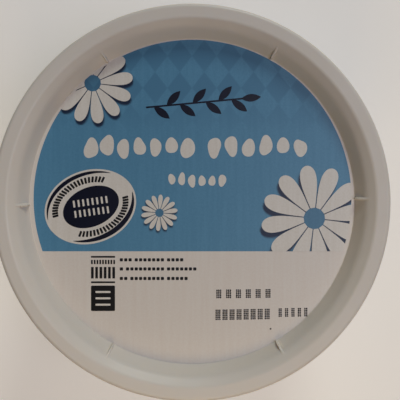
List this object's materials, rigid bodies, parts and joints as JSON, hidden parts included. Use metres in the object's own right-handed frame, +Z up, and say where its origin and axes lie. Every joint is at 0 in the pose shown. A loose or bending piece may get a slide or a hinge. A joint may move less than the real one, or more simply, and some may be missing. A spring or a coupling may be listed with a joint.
{
  "type": "cottage cheese tub",
  "caption": "Shut round dairy tub with a tapered body, a press-on lid with a ribbed recess, and a printed label disc on the lid's panel.",
  "frame": {"origin": "centre of the base, on the surface that the tub stands on", "axes": "+Z up along the tub's axis, +Y towards the top of the label"},
  "size_m": [0.098, 0.098, 0.054],
  "materials": {
    "tub_plastic": "injection-moulded off-white polypropylene, satin",
    "lid_plastic": "injection-moulded off-white polypropylene, satin",
    "label_film": "printed in-mould film, blue upper field, white lower field"
  },
  "bodies": {
    "root": {"tub": "tub_plastic", "lid": "lid_plastic", "label": "label_film"}
  },
  "joints": []
}
